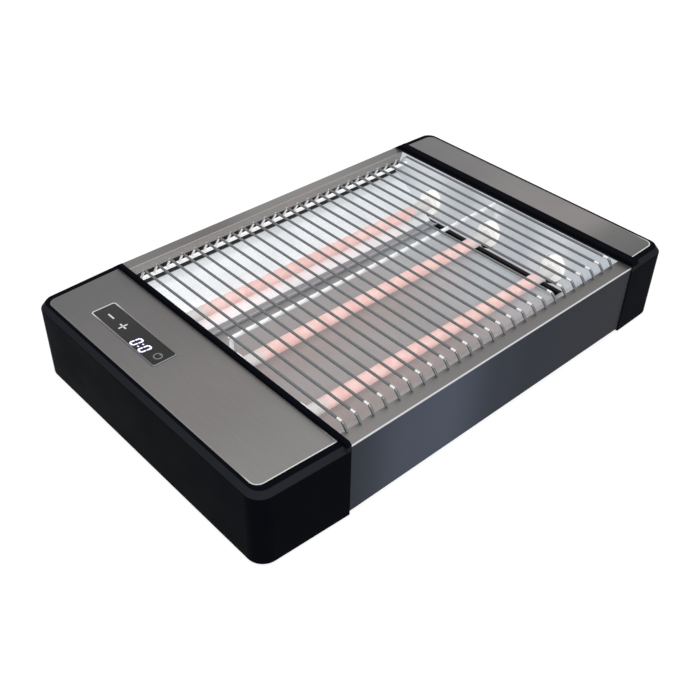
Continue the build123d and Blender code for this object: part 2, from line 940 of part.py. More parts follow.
rail_rivet_x = rail_web - rail_width / 2 - rivet_radius / 2
foot_rivet_x = slope_foot_x + foot_flange_width / 2 + rivet_radius / 2
for y in (-foot_rivet_spread, foot_rivet_spread):
    for x in (rail_rivet_x, foot_rivet_x):
        rivet = pan_rivet(x, y, pan_bottom)
        rivets += [rivet, mirrored(rivet)]
        base_pan -= rivet_hole(x, y)
        base_pan -= mirrored(rivet_hole(x, y))
    right_rail -= bar_along_z(rivet_radius + running_gap, rail_rivet_x, y, pan_top, pan_top + sheet)
    right_end_reflector -= bar_along_z(
        rivet_radius + running_gap, foot_rivet_x, y, pan_top, pan_top + sheet
    )
left_rail = mirrored(right_rail)
left_end_reflector = mirrored(right_end_reflector)

# Thermal cut-out on the left cap's wall, between the back and middle tubes
wall_inside = left_inner - cap_wall
cutout_y = tube_spacing / 2
cutout_face = wall_inside - cutout_depth
cutout = bar_along_x(cutout_radius, cutout_face, wall_inside, cutout_y, cutout_z)
cutout = fillet(cutout.edges().group_by(Axis.X)[0], component_edge)

# Leads
lead_offset = cutout_radius / 2
lead_column_x = cutout_face - 2 * lead_bend
bus_outside = 2 * chamber_middle - collar_back - bus_bar_thickness
cutout_lead = round_wire(
    [
        (bus_outside, cutout_y + lead_offset, tube_height),
        (lead_column_x, cutout_y + lead_offset, tube_height),
        (lead_column_x, cutout_y + lead_offset, cutout_z),
        (cutout_face, cutout_y + lead_offset, cutout_z),
    ],
    lead_radius,
    lead_bend,
)
supply_z = tube_height + lead_drop
supply_lead = round_wire(
    [
        (cutout_face, cutout_y - lead_offset, cutout_z),
        (lead_column_x, cutout_y - lead_offset, cutout_z),
        (lead_column_x, cutout_y - lead_offset, supply_z),
        (lead_column_x, relay_y, supply_z),
        (relay_x, relay_y, supply_z),
        (relay_x, relay_y, power_board_top + relay_size[2]),
    ],
    lead_radius,
    lead_bend,
)
right_bus_outside = collar_back + bus_bar_thickness
return_lead = round_wire(
    [
        (right_bus_outside, cutout_y, tube_height),
        (right_bus_outside + 3 * lead_bend, cutout_y, tube_height),
        (right_bus_outside + 3 * lead_bend, cutout_y, lead_row_z),
        (right_bus_outside + 3 * lead_bend, lead_row_y, lead_row_z),
        (terminal_east, lead_row_y, lead_row_z),
    ],
    lead_radius,
    lead_bend,
)
left_shell -= left_cap.wall_hole(lead_hole_radius, lead_row_y, lead_row_z)
right_shell -= right_cap.wall_hole(lead_hole_radius, lead_row_y, lead_row_z)
mains_z = (power_board_height + power_board_top) / 2
mains_x = terminal_east - terminal_block_size[0] / 2
mains_leads = [
    bar_along_y(
        lead_radius, x, power_board_back, lead_row_y - terminal_block_size[1] / 2, mains_z
    )
    for x in (mains_x - 2 * lead_radius, mains_x + 2 * lead_radius)
]

# Ribbon cable from the control board down to the power board
cable_x = power_board_west + component_inset
cable_level = (board_bottom + power_board_top) / 2
board_cable = folded_sheet(
    [
        (board_front + 2 * component_inset, board_bottom),
        (board_front + 2 * component_inset, cable_level),
        (power_board_back - component_inset, cable_level),
        (power_board_back - component_inset, power_board_top),
    ],
    Side.RIGHT,
    cross_plane(cable_x),
    cable_width,
    thickness=cable_thickness,
    radius=2 * cable_thickness,
)

# Cord gland in the left cap's back wall, square to that wall
wall_turn = math.degrees(math.atan2(left_taper, left_cap_width))
gland_y = cap_half_depth - left_taper * (left_inner - gland_x) / left_cap_width
gland_frame = Pos(gland_x, gland_y, gland_z) * Rot(0, 0, wall_turn)
gland_span = gland_flange_thickness + cap_wall + gland_nut_thickness
gland = bar_along_y(gland_flange_radius, 0, 0, gland_flange_thickness, 0)
gland = fillet(gland.edges().group_by(Axis.Y)[-1], gland_flange_thickness / 3)
gland += bar_along_y(gland_radius, 0, -cap_wall, 0, 0)
gland += bar_along_y(gland_flange_radius, 0, -cap_wall - gland_nut_thickness, -cap_wall, 0)
gland -= bar_along_y(gland_hole_radius, 0, -gland_span, gland_span, 0)
left_shell -= gland_frame * bar_along_y(gland_radius + running_gap, 0, -gland_span, gland_span, 0)
cord_gland = gland_frame * gland

# Rack: cross wires welded to the rear rod, with the middle rod under them
wire_foot_turn = math.radians(wire_foot_angle)
wire_foot_z = flange_top + slide_gap + wire_radius * math.sin(wire_foot_turn)
wire_foot_y = wire_front_bend_y - (wire_front_height - wire_foot_z) * math.tan(wire_foot_turn)
wire = round_wire(
    [
        (0, wire_foot_y, wire_foot_z),
        (0, wire_front_bend_y, wire_front_height),
        (0, wire_back_bend_y, wire_back_height),
        (0, rear_rod_y, rear_rod_z),
    ],
    wire_radius,
    wire_bend,
)
wire -= bar_along_x(rod_radius, -wire_pitch, wire_pitch, rear_rod_y, rear_rod_z)
cross_wires = [Pos(wire_first + i * wire_pitch, 0, 0) * wire for i in range(wire_count)]
rear_rod = bar_along_x(
    rod_radius, left_inner - pivot_depth, right_inner + pivot_depth, rear_rod_y, rear_rod_z
)

wire_fall = (wire_front_height - wire_back_height) / (wire_back_bend_y - wire_front_bend_y)
wire_height_there = wire_front_height - wire_fall * (middle_rod_y - wire_front_bend_y)
middle_rod_z = wire_height_there - wire_radius - rod_radius
middle_rod_east = slope_foot_x + middle_rod_from_slope
middle_rod_west = 2 * chamber_middle - middle_rod_east
leg_reach = middle_rod_east + rod_radius - slope_foot_x
middle_foot_z = floor_top + slope_rate * leg_reach + trim_gap
middle_rod = round_wire(
    [
        (middle_rod_west, middle_rod_y, middle_foot_z),
        (middle_rod_west, middle_rod_y, middle_rod_z),
        (middle_rod_east, middle_rod_y, middle_rod_z),
        (middle_rod_east, middle_rod_y, middle_foot_z),
    ],
    rod_radius,
    middle_rod_bend,
)

nodes = {
    "left_end_cap": left_shell,
    "right_end_cap": right_shell,
    "left_top_plate": left_plate,
    "right_top_plate": right_plate,
    "window_bezel": bezel,
    "control_window": glass,
    "display_module": display,
    "touch_pads": group(touch_pads),
    "control_board": control_board,
    "board_screws": group(board_screws),
    "power_board": power_board,
    "relay": relay,
    "transformer": transformer,
    "capacitor": capacitor,
    "terminal_block": terminal_block,
    "cord_gland": cord_gland,
    "left_base_cover": left_cover,
    "right_base_cover": right_cover,
    "cover_screws": group(left_cap.screws() + right_cap.screws()),
    "left_feet": group([rubber_foot(left_foot_x, y) for y in (-foot_half_spread, foot_half_spread)]),
    "right_feet": group(
        [rubber_foot(right_foot_x, y) for y in (-foot_half_spread, foot_half_spread)]
    ),
    "left_heat_shield": left_shield,
    "right_heat_shield": right_shield,
    "front_panel": front_panel,
    "back_panel": back_panel,
    "base_pan": base_pan,
    "pan_rivets": group(rivets),
    "pan_screws": group(pan_screws),
    "front_reflector": front_reflector,
    "back_reflector": back_reflector,
    "left_end_reflector": left_end_reflector,
    "right_end_reflector": right_end_reflector,
    "crumb_tray": crumb_tray,
    "tray_grip": grip,
    "grip_rivets": group(grip_rivets),
    "left_tray_rail": left_rail,
    "right_tray_rail": right_rail,
    "left_bus_bar": left_bus_bar,
    "right_bus_bar": right_bus_bar,
    "thermal_cutout": cutout,
    "cutout_lead": cutout_lead,
    "supply_lead": supply_lead,
    "return_lead": return_lead,
    "mains_leads": group(mains_leads),
    "board_cable": board_cable,
    "rack_cross_wires": group(cross_wires),
    "rack_middle_rod": middle_rod,
    "rack_rear_rod": rear_rod,
}
for row in tube_rows:
    nodes[row + "_quartz_tube"] = tubes[row]
    nodes[row + "_heating_coil"] = coils[row]
    nodes[row + "_right_collar"] = right_collars[row]
    nodes[row + "_left_collar"] = mirrored(right_collars[row])

os.makedirs("parts", exist_ok=True)
for name, shape in nodes.items():
    export_step(shape, f"parts/{name}.step")
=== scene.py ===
"""Visual model of a flat toaster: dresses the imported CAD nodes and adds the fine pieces."""
from __future__ import annotations

import logging
import math
from collections.abc import Callable
from dataclasses import dataclass, field
from enum import Enum

import bpy
from mathutils import Matrix, Vector

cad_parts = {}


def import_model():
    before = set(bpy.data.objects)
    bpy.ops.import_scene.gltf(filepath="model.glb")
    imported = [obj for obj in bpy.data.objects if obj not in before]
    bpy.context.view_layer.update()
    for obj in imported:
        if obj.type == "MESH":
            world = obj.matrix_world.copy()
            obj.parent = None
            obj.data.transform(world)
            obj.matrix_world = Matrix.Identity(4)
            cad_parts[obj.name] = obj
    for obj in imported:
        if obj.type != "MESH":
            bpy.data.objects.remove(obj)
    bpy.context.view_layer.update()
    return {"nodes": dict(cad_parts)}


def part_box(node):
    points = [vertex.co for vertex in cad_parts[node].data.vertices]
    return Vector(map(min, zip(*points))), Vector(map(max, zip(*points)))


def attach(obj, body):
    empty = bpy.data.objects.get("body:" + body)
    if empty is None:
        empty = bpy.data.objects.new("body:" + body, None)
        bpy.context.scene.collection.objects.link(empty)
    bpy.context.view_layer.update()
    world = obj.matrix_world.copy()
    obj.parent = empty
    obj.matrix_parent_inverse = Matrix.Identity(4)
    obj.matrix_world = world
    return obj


log = logging.getLogger("flat_toaster")

MM = 0.001
Vec3 = tuple[float, float, float]
Stroke = tuple[float, float, float, float]

# Middle of each quartz tube along Y, in millimetres
TUBE_ROWS = (-67.0, 0.0, 67.0)

# Stretch of sheet before and behind each tube's middle that its light tints, and the fade of that
TINT_BEFORE = 6.0
TINT_BEHIND = 24.0
TINT_FADE = 16.0

# Dark tone in the bottom of brushing marks
SCRATCH_TONE = "#4c4b4a"


# Colour and node helpers


def linear(hex_colour: str) -> tuple[float, float, float, float]:
    """Turn an sRGB hex colour into linear RGBA.

    Args:
        hex_colour: colour as "#rrggbb".

    Returns:
        Linear red, green, blue and full opacity.
    """
    channels = [int(hex_colour[i:i + 2], 16) / 255 for i in (1, 3, 5)]
    red, green, blue = (
        c / 12.92 if c <= 0.04045 else ((c + 0.055) / 1.055) ** 2.4 for c in channels
    )
    return red, green, blue, 1.0


class Graph:
    """Shader node tree under construction."""

    def __init__(self, tree: bpy.types.NodeTree) -> None:
        """Start with an empty tree.

        Args:
            tree: the node tree, whose default nodes are removed.
        """
        self.tree = tree
        self.tree.nodes.clear()

    def node(self, kind: str, settings: dict | None = None, **inputs: object) -> bpy.types.Node:
        """Add a node with its settings, values and links.

        Args:
            kind: node type after "ShaderNode".
            settings: attributes set on the node itself.
            inputs: socket values or output sockets, named by socket with _ for a space;
                a name such as i0 means the input of that number.

        Returns:
            The new node.
        """
        made = self.tree.nodes.new("ShaderNode" + kind)
        for key, value in (settings or {}).items():
            setattr(made, key, value)
        for key, value in inputs.items():
            by_number = key[0] == "i" and key[1:].isdigit()
            socket = made.inputs[int(key[1:]) if by_number else key.replace("_", " ")]
            if isinstance(value, bpy.types.NodeSocket):
                self.tree.links.new(value, socket)
            else:
                socket.default_value = value
        return made

    def place(self, scale: Vec3) -> bpy.types.NodeSocket:
        """Object coordinates in metres, stretched.

        Args:
            scale: multiplier along X, Y and Z.

        Returns:
            The vector output.
        """
        where = self.node("TexCoord").outputs["Object"]
        return self.node("Mapping", Vector=where, Scale=scale).outputs[0]

    def axis(self, name: str) -> bpy.types.NodeSocket:
        """One object coordinate in metres.

        Args:
            name: "X", "Y" or "Z".

        Returns:
            The value output.
        """
        where = self.node("TexCoord").outputs["Object"]
        return self.node("SeparateXYZ", Vector=where).outputs[name]

    def ramp(self, value: bpy.types.NodeSocket, low: float, high: float,
             to_low: float = 0.0, to_high: float = 1.0) -> bpy.types.NodeSocket:
        """Map a value smoothly from one range to another, held at both ends.

        Args:
            value: the socket to map.
            low: start of the source range.
            high: end of the source range.
            to_low: result at the start.
            to_high: result at the end.

        Returns:
            The mapped value output.
        """
        settings = {"clamp": True, "interpolation_type": "SMOOTHSTEP"}
        return self.node("MapRange", settings, Value=value, From_Min=low, From_Max=high,
                         To_Min=to_low, To_Max=to_high).outputs["Result"]

    def band(self, axis: str, low_mm: float, high_mm: float, soft_mm: float) -> bpy.types.NodeSocket:
        """One between two places along an axis and nought outside, with soft ends.

        Args:
            axis: "X", "Y" or "Z".
            low_mm: where the band starts.
            high_mm: where it ends.
            soft_mm: length over which each end fades.

        Returns:
            The value output.
        """
        along, soft = self.axis(axis), soft_mm / 2
        rise = self.ramp(along, (low_mm - soft) * MM, (low_mm + soft) * MM)
        fall = self.ramp(along, (high_mm + soft) * MM, (high_mm - soft) * MM)
        return self.math("MULTIPLY", rise, fall)

    def stops(self, axis: str, places: dict[float, str]) -> bpy.types.NodeSocket:
        """Colours that blend into each other along an axis.

        Args:
            axis: "X", "Y" or "Z".
            places: colour at each place in millimetres, in rising order.

        Returns:
            The colour output.
        """
        along = self.axis(axis)
        marks = list(places.items())
        colour = linear(marks[0][1])
        for (low, _), (high, after) in zip(marks, marks[1:]):
            colour = self.mix(self.ramp(along, low * MM, high * MM), colour, linear(after))
        return colour

    def math(self, operation: str, first: object, second: object = 0.0) -> bpy.types.NodeSocket:
        """A math node.

        Args:
            operation: what to work out, such as MULTIPLY.
            first: first value or socket.
            second: second value or socket.

        Returns:
            The value output.
        """
        return self.node("Math", {"operation": operation}, i0=first, i1=second).outputs[0]

    def mix(self, factor: object, first: object, second: object) -> bpy.types.NodeSocket:
        """Blend two colours.

        Args:
            factor: share of the second colour.
            first: first colour or socket.
            second: second colour or socket.

        Returns:
            The colour output.
        """
        mixer = self.node("Mix", {"data_type": "RGBA"}, i0=factor, i6=first, i7=second)
        return mixer.outputs[2]

    def noise(self, per_mm: float, detail: float = 3.0, roughness: float = 0.5,
              stretch: Vec3 = (1.0, 1.0, 1.0)) -> bpy.types.NodeSocket:
        """Noise whose grains have a real size.

        Args:
            per_mm: grains in a millimetre.
            detail: layers of finer noise.
            roughness: strength of the finer layers.
            stretch: multiplier of the scale along each axis.

        Returns:
            The value output.
        """
        scale = tuple(per_mm / MM * s for s in stretch)
        return self.node("TexNoise", Vector=self.place(scale), Scale=1.0, Detail=detail,
                         Roughness=roughness).outputs[0]

    def bump(self, height: bpy.types.NodeSocket, strength: float, depth_mm: float) -> bpy.types.NodeSocket:
        """Bump from a height.

        Args:
            height: the height socket.
            strength: share of the effect.
            depth_mm: real depth in millimetres.

        Returns:
            The normal output.
        """
        return self.node("Bump", Height=height, Strength=strength,
                         Distance=depth_mm * MM).outputs[0]

    def direct_view(self) -> bpy.types.NodeSocket:
        """One for rays that show the background: to the eye, through glass and off metal.

        Returns:
            The value output.
        """
        path = self.node("LightPath")
        eye = self.math("MAXIMUM", path.outputs["Is Camera Ray"], path.outputs["Is Transmission Ray"])
        return self.math("MAXIMUM", eye, path.outputs["Is Glossy Ray"])


class Recipe(Graph):
    """Node tree of one material under construction."""

    def __init__(self, name: str) -> None:
        """Start an empty material.

        Args:
            name: the finish's name.
        """
        self.material = bpy.data.materials.new(name)
        self.material.use_nodes = True
        super().__init__(self.material.node_tree)

    def finish(self, shader: bpy.types.NodeSocket) -> bpy.types.Material:
        """Link the shader to the output.

        Args:
            shader: the last shader socket.

        Returns:
            The finished material.
        """
        self.node("OutputMaterial", Surface=shader)
        return self.material


# Finishes, named for the real materials and how their surfaces were made; several carry painted light in
# their colours


class Brush(Enum):
    """Direction in which a sheet was brushed, as noise stretch along X, Y and Z."""

    ALONG_X = (0.012, 1.0, 1.0)
    ALONG_Y = (1.0, 0.012, 1.0)


@dataclass(frozen=True)
class MouldedABS:
    """Injection-moulded ABS: deep black, nearly without sheen, finely grained, with a painted highlight on
    the chamfer.
    """

    name: str = "moulded_black_abs"
    colour: str = "#0c0e13"
    lighter_tone: str = "#0f1015"
    # Painted highlight: the chamfer's colour is lighter where light catches it.
    bevel_highlight: str = "#292a2e"
    bevel_foot: float = 58.9
    bevel_top: float = 62.9
    roughness: float = 0.36
    sheen_level: float = 0.003
    grain_per_mm: float = 2.2
    grain_depth_mm: float = 0.02

    def material(self) -> bpy.types.Material:
        """Build the material."""
        r = Recipe(self.name)
        grain = r.noise(self.grain_per_mm, detail=2.0)
        cloud = r.noise(0.03, detail=2.0)
        side = r.mix(r.ramp(cloud, 0.4, 0.75), linear(self.colour), linear(self.lighter_tone))
        # Painted highlight laid over the chamfer band.
        on_bevel_highlight = r.band("Z", self.bevel_foot, self.bevel_top, 0.4)
        colour = r.mix(on_bevel_highlight, side, linear(self.bevel_highlight))
        rough = r.ramp(cloud, 0.3, 0.7, self.roughness - 0.05, self.roughness + 0.07)
        shader = r.node("BsdfPrincipled", Base_Color=colour, Roughness=rough,
                        Normal=r.bump(grain, 0.35, self.grain_depth_mm))
        shader.inputs["Specular IOR Level"].default_value = self.sheen_level
        return r.finish(shader.outputs[0])


@dataclass(frozen=True)
class BrushedStainless:
    """Brushed stainless sheet: fine scratches in one direction that pull the highlight across it, over
    painted light along Y.
    """

    name: str
    # Painted light: tones along Y that stand in for the light and highlights across the sheet.
    light_along_y: dict[float, str]
    brush: Brush
    metallic: float = 0.7
    roughness: float = 0.42
    streak: float = 0.9
    scratch_per_mm: float = 4.0
    scratch_depth_mm: float = 0.008
    anisotropy: float = 0.4

    def material(self) -> bpy.types.Material:
        """Build the material."""
        r = Recipe(self.name)
        fine = r.noise(self.scratch_per_mm, detail=4.0, roughness=0.65, stretch=self.brush.value)
        # Painted light along Y is the base colour of the sheet.
        sheet = r.stops("Y", self.light_along_y)
        colour = r.mix(r.ramp(fine, 0.35, 0.65, 0.0, 1.0 - self.streak), sheet, linear(SCRATCH_TONE))
        rough = r.ramp(fine, 0.3, 0.7, self.roughness - 0.07, self.roughness + 0.08)
        shader = r.node("BsdfPrincipled", Base_Color=colour, Roughness=rough,
                        Normal=r.bump(fine, 0.3, self.scratch_depth_mm))
        shader.inputs["Metallic"].default_value = self.metallic
        shader.inputs["Anisotropic"].default_value = self.anisotropy
        return r.finish(shader.outputs[0])


@dataclass(frozen=True)
class LacqueredPanel:
    """Long panel: bare brushed steel on its flange, dark blue-grey lacquer with orange peel outside.

    One fold of the flange carries a painted highlight; the tones along X are painted light.
    """

    name: str
    # Painted light: lacquer and steel tones along X stand in for the light across the panel.
    lacquer: dict[float, str]
    steel: dict[float, str]
    painted_from: tuple[str, float, float]
    fold: tuple[float, float]
    # Painted highlight along the fold.
    fold_highlight: str = "#dcdcdf"
    fold_highlight_share: float = 0.9
    lacquer_roughness: float = 0.32
    lacquer_sheen: float = 0.02
    steel_roughness: float = 0.4
    steel_metallic: float = 0.7

    def material(self) -> bpy.types.Material:
        """Build the material."""
        r = Recipe(self.name)
        scratches = r.noise(3.0, detail=4.0, roughness=0.65, stretch=Brush.ALONG_X.value)
        peel = r.noise(0.9, detail=1.0)
        axis, bare_side, paint_side = self.painted_from
        on_paint = r.ramp(r.axis(axis), bare_side * MM, paint_side * MM)
        steel = r.mix(r.ramp(scratches, 0.35, 0.65, 0.0, 0.12), r.stops("X", self.steel),
                      linear(SCRATCH_TONE))
        # Painted highlight along the fold of the flange.
        lighter_tone = r.math("MULTIPLY", r.band("Y", *self.fold, 0.3), self.fold_highlight_share)
        bare_colour = r.mix(lighter_tone, steel, linear(self.fold_highlight))
        painted = r.node("BsdfPrincipled", Base_Color=r.stops("X", self.lacquer),
                         Roughness=self.lacquer_roughness, Normal=r.bump(peel, 0.12, 0.02))
        painted.inputs["Specular IOR Level"].default_value = self.lacquer_sheen
        bare = r.node("BsdfPrincipled", Base_Color=bare_colour, Roughness=self.steel_roughness,
                      Normal=r.bump(scratches, 0.3, 0.008))
        bare.inputs["Metallic"].default_value = self.steel_metallic
        both = r.node("MixShader", i0=on_paint, i1=bare.outputs[0], i2=painted.outputs[0])
        return r.finish(both.outputs[0])


@dataclass(frozen=True)
class Tint:
    """Painted light or shade over one stretch of a sheet: a painted shadow, shade or the light thrown on
    it.
    """

    axis: str
    low: float
    high: float
    soft: float
    colour: str
    share: float


def beside_tubes(colour: str, share: float) -> tuple[Tint, ...]:
    """Paint the tubes' light on a sheet beside each of the three tubes.

    Args:
        colour: the tint's colour.
        share: how much of it covers the sheet.

    Returns:
        One tint for each tube.
    """
    return tuple(
        Tint("Y", y - TINT_BEFORE, y + TINT_BEHIND, TINT_FADE, colour, share) for y in TUBE_ROWS)


@dataclass(frozen=True)
class ReflectorSheet:
    """Bright aluminised steel: satin and faintly clouded, with painted light along it, painted tints and a
    painted glow for the tubes' light.
    """

    name: str
    along: str
    # Painted light: tones along the sheet that stand in for how the light falls on it.
    places: dict[float, str]
    tints: tuple[Tint, ...]
    # Painted glow: emission that stands in for the light the tubes throw on the sheet.
    glow: float = 0.0
    metallic: float = 0.1
    roughness: float = 0.35

    def material(self) -> bpy.types.Material:
        """Build the material."""
        r = Recipe(self.name)
        grain = r.noise(1.2, detail=3.0)
        cloud = r.noise(0.03, detail=2.0)
        sheet = r.stops(self.along, self.places)
        colour = r.mix(r.ramp(cloud, 0.4, 0.7, 0.0, 0.14), sheet, linear("#8a9194"))
        # Painted light and shade from each tint.
        for tint in self.tints:
            cover = r.math("MULTIPLY", r.band(tint.axis, tint.low, tint.high, tint.soft), tint.share)
            colour = r.mix(cover, colour, linear(tint.colour))
        rough = r.ramp(grain, 0.3, 0.7, self.roughness - 0.06, self.roughness + 0.08)
        shader = r.node("BsdfPrincipled", Base_Color=colour, Roughness=rough,
                        Emission_Color=colour, Emission_Strength=self.glow,
                        Normal=r.bump(cloud, 0.3, 0.2))
        shader.inputs["Metallic"].default_value = self.metallic
        return r.finish(shader.outputs[0])


@dataclass(frozen=True)
class ChromedWire:
    """Chrome-plated wire: darker along its middle, with painted highlights at its bent ends."""

    name: str
    middle: str
    # Painted highlight colour at the bent ends.
    bend_highlight: str
    front_highlight: tuple[float, float] = (-111.5, -107.5)
    back_highlight: tuple[float, float] = (100.5, 112.0)
    roughness: float = 0.24
    metallic: float = 0.9
    # Painted glint: emission that makes the wire glow though it is no lamp.
    glint: float = 0.0

    def material(self) -> bpy.types.Material:
        """Build the material."""
        r = Recipe(self.name)
        marks = r.noise(1.6, detail=3.0)
        # Painted highlights at the front and back bends.
        ends = r.math("MAXIMUM", r.band("Y", *self.front_highlight, 0.8),
                      r.math("MULTIPLY", r.band("Y", *self.back_highlight, 1.5), 0.75))
        tinted = r.mix(r.ramp(marks, 0.4, 0.8, 0.0, 0.3), linear(self.middle), linear("#3b3d40"))
        colour = r.mix(ends, tinted, linear(self.bend_highlight))
        rough = r.ramp(marks, 0.3, 0.7, self.roughness - 0.05, self.roughness + 0.08)
        shader = r.node("BsdfPrincipled", Base_Color=colour, Roughness=rough,
                        Emission_Color=colour, Emission_Strength=self.glint,
                        Normal=r.bump(marks, 0.15, 0.02))
        shader.inputs["Metallic"].default_value = self.metallic
        return r.finish(shader.outputs[0])


@dataclass(frozen=True)
class MilkyQuartz:
    """Milky fused-quartz tube: pink where the coil glows inside it, pale grey at its cold ends, with a
    painted glow over the whole tube.
    """

    name: str = "milky_quartz"
    glow: str = "#f3cfc8"
    deep: str = "#e9bfb8"
    cold: str = "#dcd8d5"
    glow_start: float = -100.0
    glow_end: float = 118.0
    fade: float = 14.0
    # Painted glow over the whole tube, cold ends too.
    painted_base_glow: float = 0.18
    coil_light: float = 0.17
    roughness: float = 0.35
    refraction: float = 1.46

    def material(self) -> bpy.types.Material:
        """Build the material."""
        r = Recipe(self.name)
        lit = r.band("X", self.glow_start, self.glow_end, self.fade)
        mottle = r.ramp(r.noise(0.1, detail=2.0), 0.35, 0.65)
        hot = r.mix(mottle, linear(self.glow), linear(self.deep))
        colour = r.mix(lit, linear(self.cold), hot)
        shader = r.node("BsdfPrincipled", Base_Color=colour, Emission_Color=colour,
                        Emission_Strength=r.math(
                            "ADD", r.math("MULTIPLY", lit, self.coil_light), self.painted_base_glow))
        shader.inputs["Roughness"].default_value = self.roughness
        shader.inputs["IOR"].default_value = self.refraction
        return r.finish(shader.outputs[0])


@dataclass(frozen=True)
class PressedCeramic:
    """Pressed steatite ceramic: warm white and matt, with faint press mottling and a painted glow for the
    tube's light.
    """

    name: str = "pressed_ceramic"
    colour: str = "#f4f3ee"
    shade: str = "#dcd9d0"
    # Painted glow: emission that stands in for the light of the tube on the collar.
    emission: float = 0.42

    def material(self) -> bpy.types.Material:
        """Build the material."""
        r = Recipe(self.name)
        mottle = r.noise(0.5, detail=3.0)
        colour = r.mix(r.ramp(mottle, 0.45, 0.75), linear(self.colour), linear(self.shade))
        shader = r.node("BsdfPrincipled", Base_Color=colour, Roughness=0.5,
                        Emission_Color=linear(self.colour), Emission_Strength=self.emission,
                        Normal=r.bump(mottle, 0.3, 0.05))
        return r.finish(shader.outputs[0])


@dataclass(frozen=True)
class PlainFinish:
    """Small part in one material: fine grain, slight colour and gloss variation."""

    name: str
    colour: str
    second: str
    roughness: float = 0.5
    metallic: float = 0.0
    grain_per_mm: float = 1.5
    depth_mm: float = 0.03
    emission: float = 0.0

    def material(self) -> bpy.types.Material:
        """Build the material."""
        r = Recipe(self.name)
        grain = r.noise(self.grain_per_mm, detail=3.0)
        colour = r.mix(r.ramp(grain, 0.4, 0.7), linear(self.colour), linear(self.second))
        rough = r.ramp(grain, 0.3, 0.7, max(self.roughness - 0.06, 0.02), self.roughness + 0.06)
        shader = r.node("BsdfPrincipled", Base_Color=colour, Roughness=rough,
                        Emission_Color=linear(self.colour), Emission_Strength=self.emission,
                        Normal=r.bump(grain, 0.25, self.depth_mm))
        shader.inputs["Metallic"].default_value = self.metallic
        return r.finish(shader.outputs[0])


@dataclass(frozen=True)
class SmokedGlass:
    """Smoked window glass: near black and polished, a painted reflection making it a hint lighter towards
    its back end.
    """

    name: str = "smoked_glass"
    colour: str = "#0b0b0d"
    # Painted reflection: the glass turns lighter towards its back end.
    back_reflection: str = "#1d1c1d"
    dark_until: float = 20.0
    pale_from: float = 88.0
    sheen_level: float = 0.3

    def material(self) -> bpy.types.Material:
        """Build the material."""
        r = Recipe(self.name)
        towards_back = r.ramp(r.axis("Y"), self.dark_until * MM, self.pale_from * MM)
        smear = r.noise(0.2, detail=2.0)
        colour = r.mix(towards_back, linear(self.colour), linear(self.back_reflection))
        rough = r.ramp(smear, 0.3, 0.8, 0.08, 0.16)
        shader = r.node("BsdfPrincipled", Base_Color=colour, Roughness=rough)
        shader.inputs["Specular IOR Level"].default_value = self.sheen_level
        return r.finish(shader.outputs[0])


@dataclass(frozen=True)
class SolderMask:
    """Circuit board: green solder mask over a faint pattern of copper traces."""

    name: str = "solder_mask"
    mask: str = "#12552a"
    copper: str = "#2c7a45"
    traces_per_metre: float = 300.0

    def material(self) -> bpy.types.Material:
        """Build the material."""
        r = Recipe(self.name)
        scale = (self.traces_per_metre,) * 3
        traces = r.node("TexBrick", Vector=r.place(scale), Scale=1.0, Mortar_Size=0.08).outputs[1]
        colour = r.mix(traces, linear(self.mask), linear(self.copper))
        shader = r.node("BsdfPrincipled", Base_Color=colour, Roughness=0.35,
                        Normal=r.bump(traces, 0.3, 0.04))
        return r.finish(shader.outputs[0])


# Mesh helpers


def active_mesh(name: str) -> bpy.types.Object:
    """Name the active object and return it.

    Args:
        name: the piece's name.

    Returns:
        The object.
    """
    made = bpy.context.object
    made.name = name
    made.data.name = name
    return made


def select_none() -> None:
    """Deselect every object."""
    bpy.ops.object.select_all(action="DESELECT")


def settle(piece: bpy.types.Object) -> None:
    """Apply the object's place, turn and scale so that it sits at the origin.

    Args:
        piece: the object.
    """
    select_none()
    piece.select_set(True)
    bpy.context.view_layer.objects.active = piece
    bpy.ops.object.transform_apply(location=True, rotation=True, scale=True)


def join(parts: list[bpy.types.Object], name: str) -> bpy.types.Object:
    """Join meshes into one piece.

    Args:
        parts: the meshes.
        name: the piece's name.

    Returns:
        The joined object.
    """
    select_none()
    for part in parts:
        part.select_set(True)
    bpy.context.view_layer.objects.active = parts[0]
    if len(parts) > 1:
        bpy.ops.object.join()
    return active_mesh(name)


def place_finish(piece: bpy.types.Object, material: bpy.types.Material) -> None:
    """Give a mesh one material in every slot.

    Args:
        piece: the object.
        material: the finish.
    """
    if not piece.material_slots:
        piece.data.materials.append(material)
    for material_slot in piece.material_slots:
        material_slot.link = "OBJECT"
        material_slot.material = material


def pick_faces(piece: bpy.types.Object, wanted: Callable[[bpy.types.MeshPolygon], bool]) -> None:
    """Select only the wanted faces of a mesh and leave it in edit mode.

    Args:
        piece: the object.
        wanted: says for a face whether it is picked.
    """
    bpy.context.view_layer.objects.active = piece
    bpy.ops.object.mode_set(mode="EDIT")
    bpy.ops.mesh.select_mode(type="FACE")
    bpy.ops.mesh.select_all(action="DESELECT")
    bpy.ops.object.mode_set(mode="OBJECT")
    for polygon in piece.data.polygons:
        polygon.select = wanted(polygon)
    bpy.ops.object.mode_set(mode="EDIT")


@dataclass
class Dresser:
    """Puts finishes on CAD nodes."""

    nodes: dict[str, bpy.types.Object]

    def dress(self, material: bpy.types.Material, *names: str) -> None:
        """Give CAD nodes a finish.

        Args:
            material: the finish.
            names: the nodes.
        """
        for name in names:
            place_finish(self.nodes[name], material)
            log.info("dressed %s with %s", name, material.name)


